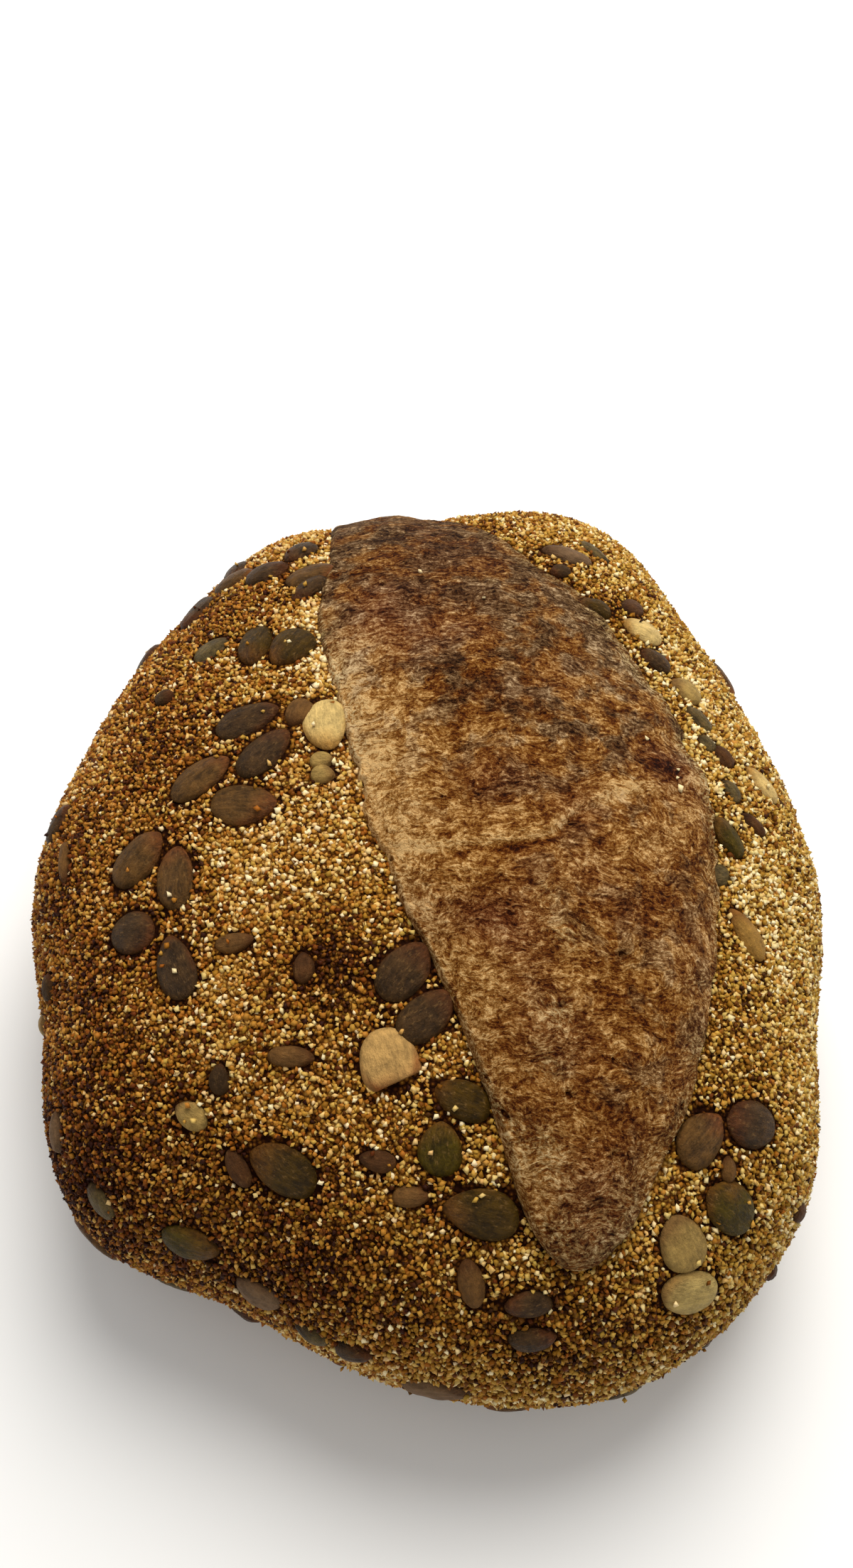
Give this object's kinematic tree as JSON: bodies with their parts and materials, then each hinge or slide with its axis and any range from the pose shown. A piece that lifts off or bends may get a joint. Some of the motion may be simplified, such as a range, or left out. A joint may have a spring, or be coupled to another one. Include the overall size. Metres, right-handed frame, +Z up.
{
  "type": "sourdough loaf",
  "caption": "Round crusty bread with a cornmeal crust, baked-on seeds and a long bare burst over its domed crown, on a flat base.",
  "frame": {"origin": "middle of the flat base, on the surface that the loaf stands on", "axes": "+Z up through the crown, -Y towards the front end where the burst stops, +X to the right"},
  "size_m": [0.176, 0.2107, 0.0923],
  "materials": {
    "cornmeal_crust": "rough baked crust coated with cornmeal grains",
    "burst_crust": "matte bare brown crust with fine fibres",
    "cornmeal_grain": "matte hard grains from cream to toasted gold",
    "pumpkin_seed": "satin toasted seed skin",
    "pale_seed": "satin pale seed shell",
    "sunflower_seed": "matte toasted seed"
  },
  "bodies": {
    "root": {"loaf": "cornmeal_crust"}
  },
  "joints": []
}
